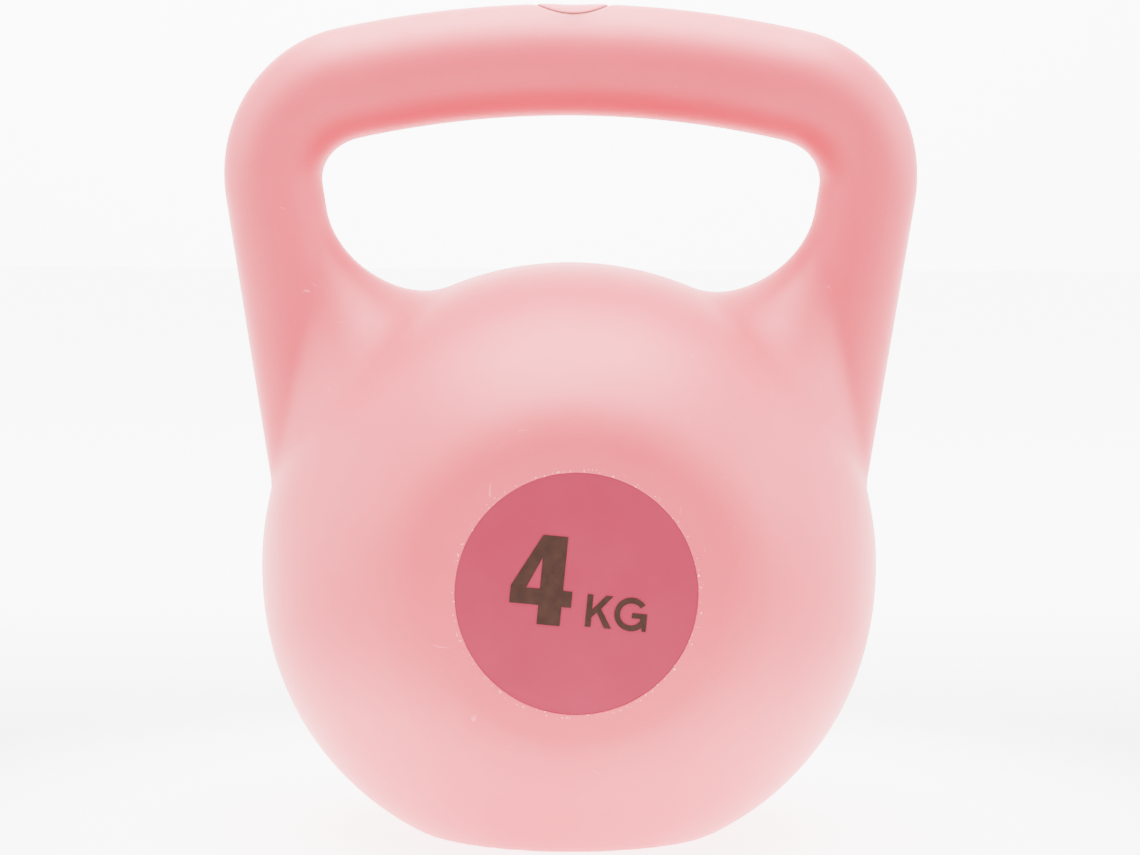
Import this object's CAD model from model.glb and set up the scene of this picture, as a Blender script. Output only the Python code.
import math

import bpy
import numpy as np
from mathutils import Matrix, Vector


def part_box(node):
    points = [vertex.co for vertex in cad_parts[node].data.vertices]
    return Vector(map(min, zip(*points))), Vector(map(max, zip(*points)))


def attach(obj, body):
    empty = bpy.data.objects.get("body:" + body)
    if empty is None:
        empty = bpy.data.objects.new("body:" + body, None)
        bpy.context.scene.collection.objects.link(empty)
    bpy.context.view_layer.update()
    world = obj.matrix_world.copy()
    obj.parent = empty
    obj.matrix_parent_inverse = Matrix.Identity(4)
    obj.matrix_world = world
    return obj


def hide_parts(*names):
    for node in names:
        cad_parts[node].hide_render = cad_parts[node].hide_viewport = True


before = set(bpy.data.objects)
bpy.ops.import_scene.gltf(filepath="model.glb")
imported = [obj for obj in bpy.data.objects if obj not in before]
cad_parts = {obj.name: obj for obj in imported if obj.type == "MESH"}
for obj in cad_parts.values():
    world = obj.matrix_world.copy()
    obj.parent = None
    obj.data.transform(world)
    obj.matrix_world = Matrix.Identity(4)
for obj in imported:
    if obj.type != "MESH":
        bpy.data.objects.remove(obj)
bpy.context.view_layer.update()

# A 4 kg kettlebell in soft-matt pink plastic. The shape is worked out in millimetres and
# put into meshes in metres: +Z up, label on -Y, handle along X, resting face on Z = 0.

mm = 0.001
tiny = 1e-9            # keeps a length or a ratio off zero
sameWay = 0.9999       # cosine past which two directions count as one
clearance = 5.0        # mm beyond the surface where a search for it may start


def cadMm(nodeName):
    low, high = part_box(nodeName)
    return np.array(low) / mm, np.array(high) / mm


shellLow, shellHigh = cadMm("shell")
labelLow, labelHigh = cadMm("label_disc")
plugLow, plugHigh = cadMm("fill_plug")
plugRadius = (plugHigh[0] - plugLow[0]) / 2
labelRadius = (labelHigh[0] - labelLow[0]) / 2
print("frame loaded, shell", np.round(shellHigh - shellLow, 1), "mm")


def linear(hexColour):
    # sRGB hex to linear: c/12.92 near black, else ((c + 0.055)/1.055) to the power 2.4
    c = np.array([int(hexColour[i:i + 2], 16) for i in (1, 3, 5)]) / 255
    rgb = np.where(c <= 0.04045, c / 12.92, ((c + 0.055) / 1.055) ** 2.4)
    return (*(float(v) for v in rgb), 1.0)


black, white = linear("#000000"), linear("#FFFFFF")


def smoothStep(t):
    s = np.clip(t, 0, 1)
    return s * s * (3 - 2 * s)


def meshFrom(name, points, quads, tris=()):
    # points in millimetres, faces as vertex numbers; unused points are dropped
    faces = [np.asarray(f, dtype=np.int64).reshape(-1, n) for f, n in ((quads, 4), (tris, 3)) if len(f)]
    used, renumbered = np.unique(np.concatenate([f.ravel() for f in faces]), return_inverse=True)
    sizes = np.concatenate([np.full(len(f), f.shape[1]) for f in faces])
    mesh = bpy.data.meshes.new(name)
    mesh.vertices.add(len(used))
    mesh.vertices.foreach_set("co", (np.asarray(points)[used] * mm).astype(np.float32).ravel())
    mesh.loops.add(len(renumbered))
    mesh.loops.foreach_set("vertex_index", renumbered.astype(np.int32).ravel())
    mesh.polygons.add(len(sizes))
    mesh.polygons.foreach_set("loop_start", (np.cumsum(sizes) - sizes).astype(np.int32))
    mesh.polygons.foreach_set("use_smooth", np.ones(len(sizes), dtype=bool))
    mesh.update(calc_edges=True)
    mesh.validate()
    piece = bpy.data.objects.new(name, mesh)
    bpy.context.scene.collection.objects.link(piece)
    return piece


def gridQuads(rings, count, start=0):
    # quads between rings of count points each; every ring is a closed loop
    ring, place = np.meshgrid(np.arange(rings - 1), np.arange(count), indexing="ij")
    beside = (place + 1) % count
    first = start + ring * count
    corners = [first + place, first + count + place, first + count + beside, first + beside]
    return np.stack(corners, -1).reshape(-1, 4)


moulding = {
    "bellWidth": 151.8,
    "bellHeight": 140.5,        # resting face to the top of the bell
    "bellRoundDepth": 140.0,    # before the front and back are flattened
    "baseCut": 8.3,             # how far the resting face cuts up into the round underside
    "upperFullness": 2.0,       # 2 is an ellipse, more is squarer
    "lowerFullness": 2.1,
    "faceEdgeRadius": 28.0,
    "baseEdgeRadius": 6.0,
    "handGapHeight": 35.9,
    "gripRadius": 13.7,
    "legRadius": 12.0,
    "gripArcRadius": 252.0,
    "cornerRadius": 23.4,
    "legSpacing": 144.4,
    "legSpacingDrop": 50.0,     # below the crown, where the spacing is measured
    "legLean": math.radians(9.0),
    "crotchRadius": 22.0,       # fillet from leg to bell inside the hand gap
    "shoulderRadius": 8.0,      # and outside it
    "stations": 400,            # half planes round the hand gap
    "sides": 200,               # rays in each half plane
}
bellDepth = shellHigh[1] - shellLow[1]
bellHalfHeight = (moulding["bellHeight"] + moulding["baseCut"]) / 2
bellCentreZ = moulding["bellHeight"] - bellHalfHeight
crownZ = moulding["bellHeight"] + moulding["handGapHeight"] + 2 * moulding["gripRadius"]
gripZ = crownZ - moulding["gripRadius"]
gapCentreZ = moulding["bellHeight"] + moulding["handGapHeight"] / 2
legOut = np.array([math.cos(moulding["legLean"]), -math.sin(moulding["legLean"])])
legUp = np.array([math.sin(moulding["legLean"]), math.cos(moulding["legLean"])])
gripCentre = np.array([0.0, gripZ - moulding["gripArcRadius"]])


def cornerCentre():
    # the corner's centre slides up a line beside the leg until it touches the grip's arc inside
    start = np.array([moulding["legSpacing"] / 2, crownZ - moulding["legSpacingDrop"]])
    start = start - moulding["cornerRadius"] * legOut - gripCentre
    reach = moulding["gripArcRadius"] - moulding["cornerRadius"]
    along = start @ legUp
    rise = math.sqrt(along ** 2 - start @ start + reach ** 2) - along
    return gripCentre + start + rise * legUp


corner = cornerCentre()
gripAngle = math.atan2(corner[0] - gripCentre[0], corner[1] - gripCentre[1])
legAngle = math.pi / 2 + moulding["legLean"]
legTop = corner + moulding["cornerRadius"] * legOut


def filleted(dA, nA, dB, nB, radius):
    # Round join of two distances d with directions n: where the ball that touches both sides lies
    # between them, distance = radius minus the way to its centre; elsewhere the smaller distance.
    c = np.clip((nA * nB).sum(-1), -sameWay, sameWay)
    uA, uB = radius - dA, radius - dB
    wA, wB = (uA - c * uB) / (1 - c * c), (uB - c * uA) / (1 - c * c)
    between = (wA > 0) & (wB > 0)
    way = wA[..., None] * nA + wB[..., None] * nB
    length = np.maximum(np.linalg.norm(way, axis=-1), tiny)
    d = np.where(between, radius - length, np.minimum(dA, dB))
    nearer = np.where((dA < dB)[..., None], nA, nB)
    return d, np.where(between[..., None], way / length[..., None], nearer)


def cutOff(d, n, planeD, planeN, radius):
    # a cut with a rounded edge is the fillet of the two sides turned inside out
    turned, normal = filleted(-d, -n, -planeD, np.broadcast_to(-planeN, n.shape), radius)
    return -turned, -normal


def bellDistance(p):
    # size = (across^k + up^k)^(1/k) with across and up measured in half widths and half heights;
    # distance = (size - 1) / steepness; then the front, back and resting face are cut flat.
    half = np.array([moulding["bellWidth"] / 2, moulding["bellRoundDepth"] / 2])
    h = p[..., 2] - bellCentreZ
    k = np.where(h > 0, moulding["upperFullness"], moulding["lowerFullness"])
    across = np.linalg.norm(p[..., :2] / half, axis=-1) + tiny
    up = np.abs(h) / bellHalfHeight + tiny
    size = (across ** k + up ** k) ** (1 / k)
    slopeAcross = (across / size) ** (k - 1) / across
    slopeUp = (up / size) ** (k - 1) * np.sign(h) / bellHalfHeight
    slope = np.concatenate([slopeAcross[..., None] * p[..., :2] / half ** 2, slopeUp[..., None]], -1)
    steepness = np.linalg.norm(slope, axis=-1)
    d, n = (size - 1) / steepness, slope / steepness[..., None]
    for side in (-1.0, 1.0):
        faceD = side * p[..., 1] - bellDepth / 2
        d, n = cutOff(d, n, faceD, np.array([0.0, side, 0.0]), moulding["faceEdgeRadius"])
    return cutOff(d, n, -p[..., 2], np.array([0.0, 0.0, -1.0]), moulding["baseEdgeRadius"])


def handleDistance(p):
    # nearest of three centrelines (grip arc, corner arc, leaning leg), less a radius that eases
    # from grip to leg round the corner; also the fillet radius to use where the leg meets the bell
    q = np.stack([np.abs(p[..., 0]), p[..., 2]], -1)
    fromGrip, fromCorner = q - gripCentre, q - corner
    onArc = np.clip(np.arctan2(fromGrip[..., 0], fromGrip[..., 1]), 0, gripAngle)
    turn = np.clip(np.arctan2(fromCorner[..., 0], fromCorner[..., 1]), gripAngle, legAngle)
    turn = np.where((fromCorner < 0).all(-1), legAngle, turn)
    down = np.clip(-(fromCorner @ legUp), 0, (legTop[1] - bellCentreZ) / legUp[1])
    lines = np.stack([
        gripCentre + moulding["gripArcRadius"] * np.stack([np.sin(onArc), np.cos(onArc)], -1),
        corner + moulding["cornerRadius"] * np.stack([np.sin(turn), np.cos(turn)], -1),
        legTop - down[..., None] * legUp,
    ])
    # how far round the corner each centreline's point is: 0 on the grip, 1 on the leg
    rounded = np.stack([0 * turn, (turn - gripAngle) / (legAngle - gripAngle), 0 * turn + 1])
    nearest = np.linalg.norm(q - lines, axis=-1).argmin(0)[None]
    near = np.take_along_axis(lines, nearest[..., None], 0)[0]
    rounded = np.take_along_axis(rounded, nearest, 0)[0]
    radius = moulding["gripRadius"] + (moulding["legRadius"] - moulding["gripRadius"]) * smoothStep(rounded)
    out = (q[..., 0] - near[..., 0]) * np.where(p[..., 0] < 0, -1, 1)
    away = np.stack([out, p[..., 1], q[..., 1] - near[..., 1]], -1)
    length = np.maximum(np.linalg.norm(away, axis=-1), tiny)
    side = ((q - legTop) @ legOut) / moulding["legRadius"]
    outside = smoothStep((side + 1) / 2)
    fillet = moulding["crotchRadius"] + (moulding["shoulderRadius"] - moulding["crotchRadius"]) * outside
    return length - radius, away / length[..., None], fillet * smoothStep(2 * rounded - 1)


def mouldedDistance(p):
    bellD, bellN = bellDistance(p)
    gripD, gripN, fillet = handleDistance(p)
    return filleted(bellD, bellN, gripD, gripN, fillet)[0]


def halved(origin, ray, before, beyond, beforeInside, steps=22):
    # bisection along each ray between a point on one side of the surface and one on the other
    for _ in range(steps):
        middle = (before + beyond) / 2
        same = (mouldedDistance(origin + ray * middle[..., None]) < 0) == beforeInside
        before, beyond = np.where(same, middle, before), np.where(same, beyond, middle)
    return (before + beyond) / 2


def nextCrossing(origin, ray, start, step=2.0):
    # walks every ray outwards until it changes side, then halves the last step
    reach = np.array(start, dtype=float)
    inside = mouldedDistance(origin + ray * reach[..., None]) < 0
    walking = np.ones(reach.shape, dtype=bool)
    while walking.any():
        reach[walking] += step
        at = origin[walking] + ray[walking] * reach[walking][..., None]
        walking[walking] = (mouldedDistance(at) < 0) == inside[walking]
    return halved(origin, ray, reach - step, reach, inside)


def bandRoundGap():
    # station angle a: half plane from the hand gap's centre line outwards along (cos a, 0, sin a);
    # side angle b: ray out of the section's middle along outward * cos b + Y * sin b
    a = 2 * np.pi * np.arange(moulding["stations"]) / moulding["stations"]
    b = 2 * np.pi * np.arange(moulding["sides"]) / moulding["sides"]
    outward = np.stack([np.cos(a), 0 * a, np.sin(a)], -1)
    hub = np.broadcast_to([0.0, 0.0, gapCentreZ], outward.shape)
    inner = nextCrossing(hub, outward, 0 * a)
    outer = nextCrossing(hub, outward, inner + 1)
    centre = hub + outward * ((inner + outer) / 2)[:, None]
    ray = outward[:, None] * np.cos(b)[:, None] + np.array([0.0, 1.0, 0.0]) * np.sin(b)[:, None]
    origin = np.broadcast_to(centre[:, None], ray.shape)
    reach = nextCrossing(origin, ray, np.zeros(ray.shape[:2]))
    return origin + ray * reach[..., None]


def droppedOn(plan, axes, lift, inside, outside):
    # puts points given in two axes onto the surface along the third, by bisection
    origin = np.zeros((*plan.shape[:-1], 3))
    origin[..., axes[0]], origin[..., axes[1]] = plan[..., 0], plan[..., 1]
    ray = np.zeros_like(origin)
    ray[..., lift] = 1.0
    height = halved(origin, ray, np.full(plan.shape[:-1], inside), np.full(plan.shape[:-1], outside), True)
    return origin + ray * height[..., None]


seat = {
    "gap": 0.2,            # round the plug
    "rimWidth": 2.3,       # the moulding rolls down to the plug over this
    "rimDepth": 0.4,
    "levelled": 0.3,       # share of the grip's roundness taken out at the plug, front and back
    "floorRise": 2.0,      # the seen part of the seat ends this far above the CAD plug's underside
    "rings": 5,            # from the opened patch in to the rim
    "lipRings": 8,
    "wallRings": 4,
    "stationsEachWay": 18,
    "sidesEachWay": 36,
}
recess = {
    "gap": 0.06,           # round the label
    "rimWidth": 0.4,
    "rimDepth": 0.06,
    "levelled": 0.0,
    "depth": 0.6,
    "rings": 10,
    "lipRings": 5,
    "wallRings": 2,
    "stationsEachWay": 23,
    "sidesOut": 20,
    "sidesIn": 19,
}
floorStep = 0.5            # the last ring of a floor, as a share of its radius


def seatOpening():
    # in the crown of the grip: a quarter way round the stations, side 0
    top, along, around = moulding["stations"] // 4, seat["stationsEachWay"], seat["sidesEachWay"]
    return {
        **seat, "rows": (top - along, top + along), "columns": (-around, around),
        "axes": [0, 1], "lift": 2, "centre": np.zeros(2), "radius": plugRadius + seat["gap"],
        "level": crownZ, "inside": gripZ, "outside": crownZ + clearance,
        "floor": plugLow[2] + seat["floorRise"],
    }


def recessOpening():
    # in the front face: three quarters of the way round the stations and the sides
    low, front = 3 * moulding["stations"] // 4, 3 * moulding["sides"] // 4
    along = recess["stationsEachWay"]
    return {
        **recess, "rows": (low - along, low + along),
        "columns": (front - recess["sidesIn"], front + recess["sidesOut"]),
        "axes": [0, 2], "lift": 1, "centre": np.array([0.0, (labelLow[2] + labelHigh[2]) / 2]),
        "radius": labelRadius + recess["gap"], "level": 0.0, "inside": 0.0,
        "outside": shellLow[1] - clearance, "floor": shellLow[1] + recess["depth"],
    }


def openingRings(band, opening):
    # Rings that fill an opened rectangle of the band: from the rectangle's edge to a circle on the
    # surface, over a rounded rim (a quarter ellipse), down a round wall and across a flat floor.
    axes, lift, centre = opening["axes"], opening["lift"], opening["centre"]
    inside, outside, floor = opening["inside"], opening["outside"], opening["floor"]
    stations, sides = moulding["stations"], moulding["sides"]
    (r0, r1), (c0, c1) = opening["rows"], opening["columns"]
    path = [(r0, c) for c in range(c0, c1)] + [(r, c1) for r in range(r0, r1)]
    path += [(r1, c) for c in range(c1, c0, -1)] + [(r, c0) for r in range(r1, r0, -1)]
    edge = np.array([(r % stations) * sides + c % sides for r, c in path])

    plan = band.reshape(-1, 3)[edge][:, axes] - centre
    angle = np.arctan2(plan[:, 1], plan[:, 0])
    circle = np.stack([np.cos(angle), np.sin(angle)], -1)
    share = np.linspace(0, 1, opening["rings"] + 1)[1:, None, None]
    patch = plan * (1 - share) + circle * (opening["radius"] + opening["rimWidth"]) * share
    patch = droppedOn(patch + centre, axes, lift, inside, outside)

    lip = np.linspace(0, np.pi / 2, opening["lipRings"] + 1)[1:, None, None]
    rim = circle * (opening["radius"] + opening["rimWidth"] * (1 - np.sin(lip)))
    rim = droppedOn(rim + centre, axes, lift, inside, outside)
    sink = opening["rimDepth"] * np.sign(outside - inside)
    sink = sink - opening["levelled"] * (opening["level"] - rim[..., lift])
    rim[..., lift] -= sink * (1 - np.cos(lip[..., 0]))

    wall = np.repeat(rim[-1:], opening["wallRings"], 0)
    share = np.linspace(0, 1, opening["wallRings"] + 1)[1:, None]
    wall[..., lift] = wall[..., lift] * (1 - share) + floor * share
    floorRing = wall[-1:].copy()
    floorRing[..., axes] = centre + (floorRing[..., axes] - centre) * floorStep
    middle = np.zeros(3)
    middle[axes], middle[lift] = centre, floor
    return edge, np.concatenate([patch, rim, wall, floorRing]), middle


def joinOpening(points, edge, rings, middle):
    # numbers the rings after the points already there, and stitches the first ring to the edge
    start, count = len(points), len(edge)
    place = np.arange(count)
    beside = (place + 1) % count
    stitch = np.stack([edge, np.roll(edge, -1), start + beside, start + place], -1)
    quads = np.concatenate([stitch, gridQuads(len(rings), count, start)[:, [0, 3, 2, 1]]])
    points = np.concatenate([points, rings.reshape(-1, 3), middle[None]])
    last = start + (len(rings) - 1) * count
    fan = np.stack([last + place, last + beside, np.full(count, len(points) - 1)], -1)
    return points, quads, fan


def shellPiece():
    # the band round the hand gap closes on itself both ways, and has the two openings cut into it
    band = bandRoundGap()
    print("shell surface found")
    stations, sides = moulding["stations"], moulding["sides"]
    row, column = np.meshgrid(np.arange(stations), np.arange(sides), indexing="ij")
    nextRow, nextColumn = (row + 1) % stations, (column + 1) % sides
    bandQuads = np.stack([
        row * sides + column, row * sides + nextColumn,
        nextRow * sides + nextColumn, nextRow * sides + column,
    ], -1)
    keep = np.ones((stations, sides), dtype=bool)
    points, quads, fans = band.reshape(-1, 3), [], []
    for opening in (seatOpening(), recessOpening()):
        (r0, r1), (c0, c1) = opening["rows"], opening["columns"]
        keep &= ~(((row - r0) % stations < r1 - r0) & ((column - c0) % sides < c1 - c0))
        points, openingQuads, fan = joinOpening(points, *openingRings(band, opening))
        quads.append(openingQuads)
        fans.append(fan)
    # the fine grid stands a few hundredths proud of the CAD's facets, so it is drawn in to its box
    low, high = points.min(0), points.max(0)
    points = shellLow + (points - low) * (shellHigh - shellLow) / (high - low)
    return meshFrom("shellMoulding", points, np.concatenate([bandQuads[keep], *quads]), np.concatenate(fans))


plug = {
    "edgeRadius": 0.7,
    "sink": 0.15,          # under the grip's surface
    "dish": 0.25,          # hollow in the middle of its top
    "dishRadius": 6.5,
    "underGap": 0.2,       # over the seat's floor
    "innermost": 0.4,      # radius of the top's first ring
    "topRings": 14,
    "edgeRings": 6,
    "wallRings": 3,
    "slices": 128,
}


def plugPiece():
    # radius r and angle t: top = grip surface at (r cos t, r sin t) - sink - dish * (1 - (r/dishRadius)^2)^2,
    # with a quarter-round edge, then a straight wall and a flat bottom
    t = 2 * np.pi * np.arange(plug["slices"]) / plug["slices"]
    circle = np.stack([np.cos(t), np.sin(t)], -1)
    flatRadii = np.linspace(plug["innermost"], plugRadius - plug["edgeRadius"], plug["topRings"])
    lip = np.linspace(0, np.pi / 2, plug["edgeRings"] + 1)[1:]
    r = np.concatenate([flatRadii, plugRadius - plug["edgeRadius"] * (1 - np.sin(lip))])
    edgeDrop = np.concatenate([0 * flatRadii, plug["edgeRadius"] * (1 - np.cos(lip))])
    dish = plug["dish"] * np.clip(1 - (r / plug["dishRadius"]) ** 2, 0, 1) ** 2
    top = droppedOn(r[:, None, None] * circle, [0, 1], 2, gripZ, crownZ + clearance)
    top[..., 2] += seat["levelled"] * (crownZ - top[..., 2]) - (plug["sink"] + edgeDrop + dish)[:, None]

    bottomZ = plugLow[2] + seat["floorRise"] + plug["underGap"]
    wall = np.repeat(top[-1:], plug["wallRings"], 0)
    share = np.linspace(0, 1, plug["wallRings"] + 1)[1:, None]
    wall[..., 2] = wall[..., 2] * (1 - share) + bottomZ * share
    rings = np.concatenate([top, wall])
    poles = np.array([[0.0, 0.0, crownZ - plug["sink"] - plug["dish"]], [0.0, 0.0, bottomZ]])
    points = np.concatenate([rings.reshape(-1, 3), poles])
    points[:, 2] = np.minimum(points[:, 2], plugHigh[2])

    place = np.arange(plug["slices"])
    beside = (place + 1) % plug["slices"]
    last = (len(rings) - 1) * plug["slices"]
    up = np.stack([place, beside, np.full(len(place), len(points) - 2)], -1)
    down = np.stack([last + beside, last + place, np.full(len(place), len(points) - 1)], -1)
    return meshFrom("plugCap", points, gridQuads(len(rings), len(place)), np.concatenate([up, down]))


def node(tree, kind, inputs=None, stops=(), **settings):
    # adds a node, sets its settings, and sets or links each named or numbered input;
    # a colour ramp also takes its stops, as positions and colours
    made = tree.nodes.new(kind)
    for key, value in settings.items():
        setattr(made, key, value)
    for key, value in (inputs or {}).items():
        if isinstance(value, bpy.types.NodeSocket):
            tree.links.new(value, made.inputs[key])
        else:
            made.inputs[key].default_value = value
    for index, (position, colour) in enumerate(stops):
        if index == len(made.color_ramp.elements):
            made.color_ramp.elements.new(position)
        made.color_ramp.elements[index].position = position
        made.color_ramp.elements[index].color = colour
    return made


def newMaterial(name):
    material = bpy.data.materials.new(name)
    material.use_nodes = True
    material.node_tree.nodes.clear()
    return material, material.node_tree


def scaleOf(size):
    # a noise's scale from its real size in millimetres
    return 1 / (size * mm)


def ringMask(tree, where, centre, across, radius, full, none):
    # 1 within "full" of a circle's line, fading to 0 at "none"; millimetres, seen along the axis
    # that is 0 in "across"
    offset = node(tree, "ShaderNodeVectorMath", {0: where, 1: Vector(centre) * mm}, operation="SUBTRACT")
    flat = node(tree, "ShaderNodeVectorMath", {0: offset.outputs[0], 1: across}, operation="MULTIPLY")
    length = node(tree, "ShaderNodeVectorMath", {0: flat.outputs[0]}, operation="LENGTH")
    away = node(tree, "ShaderNodeMath", {0: length.outputs["Value"], 1: radius * mm}, operation="SUBTRACT")
    away = node(tree, "ShaderNodeMath", {0: away.outputs[0]}, operation="ABSOLUTE")
    return node(tree, "ShaderNodeMapRange", {
        "Value": away.outputs[0], "From Min": full * mm, "From Max": none * mm, "To Min": 1.0, "To Max": 0.0,
    }).outputs[0]


softTouch = {
    "pink": "#EE6062",
    "pinkDeep": "#EC5A5D",       # where the pigment lies a little thicker
    "driftMm": 45.45,            # how far apart the pigment's clouds lie
    "scuffed": "#F3B9BA",
    "scratchMm": (22.22, 3.846, 33.33),
    "scratchTurn": (0.4, 0.7, 0.5),
    "scuffPatchMm": 6.25,
    "scuffStrength": 0.35,
    "fleckMm": 2 / 3,
    "fleckRing": 0.5,            # pale crumbs this far outside the label's edge
    "grime": "#8E1F1A",
    "grimeRing": 0.05,           # dark line this far outside the plug's edge
    "roughness": 0.5,
    "roughnessDown": 0.05,       # how far it drifts either way
    "roughnessUp": 0.06,
    "specular": 0.9,
    "sheen": 0.2,                # the rubbery skin's white bloom at grazing angles
    "sheenRoughness": 0.35,
    "subsurface": 0.25,
    "creep": 0.004,              # metres that red light goes under the surface
    "grainMm": 0.5,              # blasted-mould texture; the real one is 0.1 mm, too fine to show
    "grainHeight": 0.0002,
    "grainStrength": 0.12,
}
plugPink = {**softTouch, "pink": "#EC5A5E", "pinkDeep": "#EA5459"}


def softTouchMaterial(name, look):
    # Blow-moulded polyethylene with a blasted-mould finish: broad soft highlights, a faint fine
    # grain, pigment that drifts a little, light scuffs, and light that creeps under the surface.
    material, tree = newMaterial(name)
    where = node(tree, "ShaderNodeTexCoord").outputs["Object"]
    place = node(tree, "ShaderNodeSeparateXYZ", {0: where})
    drift = node(tree, "ShaderNodeTexNoise", {
        "Vector": where, "Scale": scaleOf(look["driftMm"]), "Detail": 3.0,
    })
    cloud = node(tree, "ShaderNodeTexNoise", {
        "Vector": where, "Scale": scaleOf(look["scuffPatchMm"]), "Detail": 4.0, "Roughness": 0.6,
    }).outputs["Fac"]
    pigment = node(tree, "ShaderNodeValToRGB", {"Fac": drift.outputs["Fac"]}, [
        (0.3, linear(look["pinkDeep"])), (0.62, linear(look["pink"])),
    ]).outputs["Color"]

    # scuffs: thin bright scratches where a stretched noise crosses its middle value, in patches
    stretched = node(tree, "ShaderNodeMapping", {
        "Vector": where, "Rotation": look["scratchTurn"], "Scale": [scaleOf(size) for size in look["scratchMm"]],
    }).outputs[0]
    scratch = node(tree, "ShaderNodeTexNoise", {
        "Vector": stretched, "Scale": 1.0, "Detail": 1.0,
    }).outputs["Fac"]
    line = node(tree, "ShaderNodeValToRGB", {
        "Fac": scratch,
    }, [(0.497, black), (0.5, white), (0.503, black)])
    patch = node(tree, "ShaderNodeValToRGB", {"Fac": cloud}, [(0.6, black), (0.72, white)])
    scuff = node(tree, "ShaderNodeMath", {0: line.outputs[0], 1: patch.outputs[0]}, operation="MULTIPLY")
    scuff = node(tree, "ShaderNodeMath", {
        0: scuff.outputs[0], 1: look["scuffStrength"],
    }, operation="MULTIPLY")

    # flecks: pale crumbs in a thin ring round the label, where noise stands above a high limit
    fleck = node(tree, "ShaderNodeTexNoise", {
        "Vector": where, "Scale": scaleOf(look["fleckMm"]), "Detail": 1.0,
    })
    fleck = node(tree, "ShaderNodeValToRGB", {"Fac": fleck.outputs["Fac"]}, [(0.66, black), (0.7, white)])
    ringRadius = labelRadius + look["fleckRing"]
    ring = ringMask(tree, where, (0.0, 0.0, bellCentreZ), (1.0, 0.0, 1.0), ringRadius, 0.3, 0.9)
    nearFront = (shellLow[1] + 10) * mm
    front = node(tree, "ShaderNodeMath", {
        0: place.outputs["Y"], 1: nearFront,
    }, operation="LESS_THAN").outputs[0]
    fleck = node(tree, "ShaderNodeMath", {0: fleck.outputs[0], 1: ring}, operation="MULTIPLY").outputs[0]
    fleck = node(tree, "ShaderNodeMath", {0: fleck, 1: front}, operation="MULTIPLY").outputs[0]
    worn = node(tree, "ShaderNodeMath", {0: scuff.outputs[0], 1: fleck}, operation="MAXIMUM").outputs[0]
    colour = node(tree, "ShaderNodeMix", {
        0: worn, 6: pigment, 7: linear(look["scuffed"]),
    }, data_type="RGBA")

    # grime: a dark line in the gap round the plug
    lineRadius = plugRadius + look["grimeRing"]
    grime = ringMask(tree, where, (0.0, 0.0, 0.0), (1.0, 1.0, 0.0), lineRadius, 0.17, 0.3)
    high = node(tree, "ShaderNodeMath", {
        0: place.outputs["Z"], 1: plugLow[2] * mm,
    }, operation="GREATER_THAN")
    grime = node(tree, "ShaderNodeMath", {0: grime, 1: high.outputs[0]}, operation="MULTIPLY").outputs[0]
    colour = node(tree, "ShaderNodeMix", {
        0: grime, 6: colour.outputs[2], 7: linear(look["grime"]),
    }, data_type="RGBA").outputs[2]

    rough = node(tree, "ShaderNodeMapRange", {
        "Value": cloud,
        "To Min": look["roughness"] - look["roughnessDown"],
        "To Max": look["roughness"] + look["roughnessUp"],
    }).outputs[0]
    grain = node(tree, "ShaderNodeTexNoise", {
        "Vector": where, "Scale": scaleOf(look["grainMm"]), "Detail": 2.0,
    })
    bump = node(tree, "ShaderNodeBump", {
        "Height": grain.outputs["Fac"], "Strength": look["grainStrength"], "Distance": look["grainHeight"],
    }).outputs[0]
    shader = node(tree, "ShaderNodeBsdfPrincipled", {
        "Base Color": colour, "Roughness": rough, "Normal": bump, "IOR": 1.5,
        "Specular IOR Level": look["specular"],
        "Sheen Weight": look["sheen"], "Sheen Roughness": look["sheenRoughness"],
        "Subsurface Weight": look["subsurface"], "Subsurface Scale": look["creep"],
        "Subsurface Radius": (1.0, 0.35, 0.3),    # red light creeps furthest
    })
    node(tree, "ShaderNodeOutputMaterial", {"Surface": shader.outputs[0]})
    return material


vinyl = {
    "pink": "#A43A45",
    "pinkDeep": "#A03641",
    "mottleMm": 11.11,
    "textureMm": 1.111,
    "roughness": 0.42,
}


def vinylMaterial():
    # Printed satin vinyl film: flat saturated ink, slight mottle from the print, soft sheen.
    material, tree = newMaterial("printedVinyl")
    where = node(tree, "ShaderNodeTexCoord").outputs["Object"]
    mottle = node(tree, "ShaderNodeTexNoise", {
        "Vector": where, "Scale": scaleOf(vinyl["mottleMm"]), "Detail": 5.0,
    })
    fine = node(tree, "ShaderNodeTexNoise", {
        "Vector": where, "Scale": scaleOf(vinyl["textureMm"]), "Detail": 2.0,
    })
    colour = node(tree, "ShaderNodeValToRGB", {"Fac": mottle.outputs["Fac"]}, [
        (0.3, linear(vinyl["pinkDeep"])), (0.7, linear(vinyl["pink"])),
    ]).outputs["Color"]
    bump = node(tree, "ShaderNodeBump", {
        "Height": fine.outputs["Fac"], "Strength": 0.05, "Distance": 0.0001,
    })
    shader = node(tree, "ShaderNodeBsdfPrincipled", {
        "Base Color": colour, "Normal": bump.outputs[0], "Roughness": vinyl["roughness"], "IOR": 1.5,
    })
    node(tree, "ShaderNodeOutputMaterial", {"Surface": shader.outputs[0]})
    return material


ink = {
    "brown": "#35201A",
    "worn": "#40281F",
    "wearMm": 2.381,
    "roughness": 0.6,
    "specular": 0.3,
}


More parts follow.
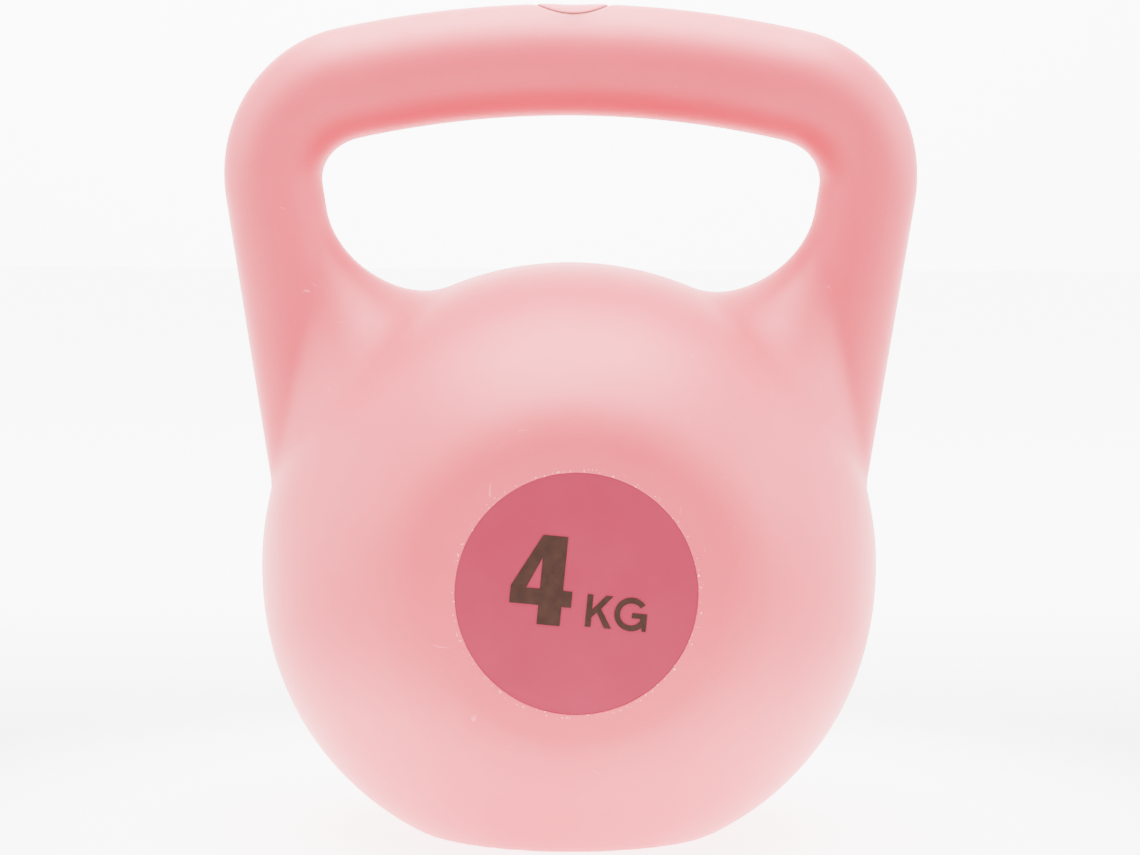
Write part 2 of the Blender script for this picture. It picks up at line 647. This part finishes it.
def inkMaterial():
    # Screen-print ink: matt, dark brown, a little thin in places.
    material, tree = newMaterial("screenInk")
    where = node(tree, "ShaderNodeTexCoord").outputs["Object"]
    thin = node(tree, "ShaderNodeTexNoise", {
        "Vector": where, "Scale": scaleOf(ink["wearMm"]), "Detail": 4.0,
    })
    colour = node(tree, "ShaderNodeValToRGB", {"Fac": thin.outputs["Fac"]}, [
        (0.35, linear(ink["brown"])), (0.72, linear(ink["worn"])),
    ]).outputs["Color"]
    shader = node(tree, "ShaderNodeBsdfPrincipled", {
        "Base Color": colour, "Roughness": ink["roughness"], "Specular IOR Level": ink["specular"],
    })
    node(tree, "ShaderNodeOutputMaterial", {"Surface": shader.outputs[0]})
    return material


# clear adhesive on its paper-coloured carrier: pale, dull, faintly blotched
adhesive = {"dark": "#DAD3BC", "light": "#E8E2CF", "roughness": 0.6, "metallic": 0.0, "mottleMm": 3.333}
# cement cast with iron sand: dry, dull grey with coarse blotches
cement = {"dark": "#6F6C66", "light": "#9A968E", "roughness": 0.95, "metallic": 0.0, "mottleMm": 4.545}
# plain drawn steel bar: half-bright grey
steel = {"dark": "#7C7F82", "light": "#96999C", "roughness": 0.45, "metallic": 1.0, "mottleMm": 2.5}


def mottledMaterial(name, look):
    # the hidden pieces' two-tone mottle, raised a little where it is light
    material, tree = newMaterial(name)
    where = node(tree, "ShaderNodeTexCoord").outputs["Object"]
    mottle = node(tree, "ShaderNodeTexNoise", {
        "Vector": where, "Scale": scaleOf(look["mottleMm"]), "Detail": 6.0,
    })
    colour = node(tree, "ShaderNodeValToRGB", {"Fac": mottle.outputs["Fac"]}, [
        (0.35, linear(look["dark"])), (0.65, linear(look["light"])),
    ]).outputs["Color"]
    bump = node(tree, "ShaderNodeBump", {
        "Height": mottle.outputs["Fac"], "Strength": 0.3, "Distance": 0.0003,
    })
    shader = node(tree, "ShaderNodeBsdfPrincipled", {
        "Base Color": colour, "Normal": bump.outputs[0],
        "Roughness": look["roughness"], "Metallic": look["metallic"],
    })
    node(tree, "ShaderNodeOutputMaterial", {"Surface": shader.outputs[0]})
    return material


def dress(piece, material):
    # a CAD node keeps its slots and gets a new material in each; a new piece gets its first
    if not piece.material_slots:
        piece.data.materials.append(material)
    for slot in piece.material_slots:
        slot.material = material


shell = shellPiece()
dress(shell, softTouchMaterial("softTouchPolyethylene", softTouch))
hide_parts("shell")
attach(shell, "root")
print("shell built:", len(shell.data.polygons), "faces")

plugCap = plugPiece()
dress(plugCap, softTouchMaterial("plugPolyethylene", plugPink))
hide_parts("fill_plug")
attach(plugCap, "root")
print("plug built")

inkCoat = inkMaterial()
for nodeName, material in {
    "label_disc": vinylMaterial(),
    "label_adhesive": mottledMaterial("adhesiveFilm", adhesive),
    "figure_4": inkCoat,
    "letter_k": inkCoat,
    "letter_g": inkCoat,
    "ballast_fill": mottledMaterial("castCement", cement),
    "reinforcing_rod": mottledMaterial("drawnSteel", steel),
}.items():
    dress(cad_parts[nodeName], material)
print("materials done")


table = {
    "colour": "#D2D0CF",
    "half": 3000.0,              # millimetres
    "roughness": 0.9,
    "glow": 0.15,                # an opal light table, lit a little from below
    "lampGlow": 1.9,             # more over the lamp under its middle
    "lampReach": (0.10, 0.22),   # metres from the middle where the lamp's glow starts and ends to fade
    "backGlow": 2.6,             # and over the tubes under its far half
    "backReach": (0.05, 0.55),   # metres behind the middle where that glow starts and is full
}


def floorPiece():
    half = table["half"]
    points = np.array([[-half, -half, 0], [half, -half, 0], [half, half, 0], [-half, half, 0]])
    floor = meshFrom("paleFloor", points, [[0, 1, 2, 3]])
    material, tree = newMaterial("opalTable")
    where = node(tree, "ShaderNodeTexCoord").outputs["Object"]
    distance = node(tree, "ShaderNodeVectorMath", {0: where}, operation="LENGTH").outputs["Value"]
    near, far = table["lampReach"]
    lamp = node(tree, "ShaderNodeMapRange", {
        "Value": distance, "From Min": near, "From Max": far,
        "To Min": table["glow"] + table["lampGlow"], "To Max": table["glow"],
    }, interpolation_type="SMOOTHSTEP").outputs[0]
    depth = node(tree, "ShaderNodeSeparateXYZ", {0: where}).outputs["Y"]
    near, far = table["backReach"]
    back = node(tree, "ShaderNodeMapRange", {
        "Value": depth, "From Min": near, "From Max": far, "To Min": 0.0, "To Max": table["backGlow"],
    }, interpolation_type="SMOOTHSTEP").outputs[0]
    glow = node(tree, "ShaderNodeMath", {0: lamp, 1: back}, operation="ADD").outputs[0]
    shader = node(tree, "ShaderNodeBsdfPrincipled", {
        "Base Color": linear(table["colour"]), "Roughness": table["roughness"],
        "Emission Color": white, "Emission Strength": glow,
    })
    node(tree, "ShaderNodeOutputMaterial", {"Surface": shader.outputs[0]})
    dress(floor, material)


tent = {
    "panelPlace": (0.0, 0.0, 0.95),
    "panelAim": (0.0, 0.0, 0.1),
    "panelSize": 1.0,
    "panelPower": 24.0,
    # soft white cloths round the table: direction, brightness straight at it; all fall off alike
    "cloths": [
        ((0.0, 1.0, 0.2), 5.5),
        ((-1.0, 0.0, 0.2), 3.9),
        ((1.0, 0.0, 0.2), 4.5),
        ((0.7, -0.7, 0.9), 1.4),
        ((-0.7, -0.7, 0.9), 0.85),
        ((-0.7, 0.0, 0.8), 0.75),
    ],
    "clothFalloff": 6.0,
    "roomGlow": 0.35,            # from every side, between the cloths too
}


def turnedTo(piece, place, aim):
    # stands a lamp or camera at a place, looking at its aim
    piece.location = place
    piece.rotation_euler = (Vector(aim) - Vector(place)).to_track_quat("-Z", "Y").to_euler()
    bpy.context.scene.collection.objects.link(piece)


def topPanel():
    light = bpy.data.lights.new("topPanel", "AREA")
    light.shape = "RECTANGLE"
    light.size = light.size_y = tent["panelSize"]
    light.energy = tent["panelPower"]
    turnedTo(bpy.data.objects.new("topPanel", light), tent["panelPlace"], tent["panelAim"])


def clothTent():
    # brightness from a direction = room glow + sum over the cloths of
    # strength * max(cosine to the cloth, 0)^falloff
    world = bpy.data.worlds.new("clothTent")
    world.use_nodes = True
    tree = world.node_tree
    direction = node(tree, "ShaderNodeTexCoord").outputs["Generated"]
    total = tent["roomGlow"]
    for towards, strength in tent["cloths"]:
        facing = node(tree, "ShaderNodeVectorMath", {
            0: direction, 1: Vector(towards).normalized(),
        }, operation="DOT_PRODUCT").outputs["Value"]
        facing = node(tree, "ShaderNodeMath", {0: facing, 1: 0.0}, operation="MAXIMUM").outputs[0]
        glow = node(tree, "ShaderNodeMath", {
            0: facing, 1: tent["clothFalloff"],
        }, operation="POWER").outputs[0]
        total = node(tree, "ShaderNodeMath", {
            0: glow, 1: strength, 2: total,
        }, operation="MULTIPLY_ADD").outputs[0]
    background = tree.nodes["Background"]
    background.inputs["Color"].default_value = white
    tree.links.new(total, background.inputs["Strength"])
    bpy.context.scene.world = world


camera = {
    "distance": 0.945,
    "height": 0.1824,
    "turn": math.radians(-1.68),
    "aimHeight": 0.0996,
    "widthSeen": 0.2813,    # at the kettlebell
    "roll": math.radians(0.34),
    "sensorWidth": 36.0,
    "clipStart": 0.05,
}
view = {"transform": "Filmic", "look": "High Contrast", "exposure": -0.14}


def placeCamera():
    turn, distance = camera["turn"], camera["distance"]
    place = Vector((distance * math.sin(turn), -distance * math.cos(turn), camera["height"]))
    aim = Vector((0.0, 0.0, camera["aimHeight"]))
    data = bpy.data.cameras.new("camera")
    data.sensor_width = camera["sensorWidth"]
    data.lens = data.sensor_width * (aim - place).length / camera["widthSeen"]
    data.clip_start = camera["clipStart"]
    eye = bpy.data.objects.new("camera", data)
    turnedTo(eye, place, aim)
    eye.rotation_euler.rotate_axis("Z", camera["roll"])
    bpy.context.scene.camera = eye


floorPiece()
topPanel()
clothTent()
placeCamera()
bpy.context.scene.view_settings.view_transform = view["transform"]
bpy.context.scene.view_settings.look = view["look"]
bpy.context.scene.view_settings.exposure = view["exposure"]
print("studio ready")
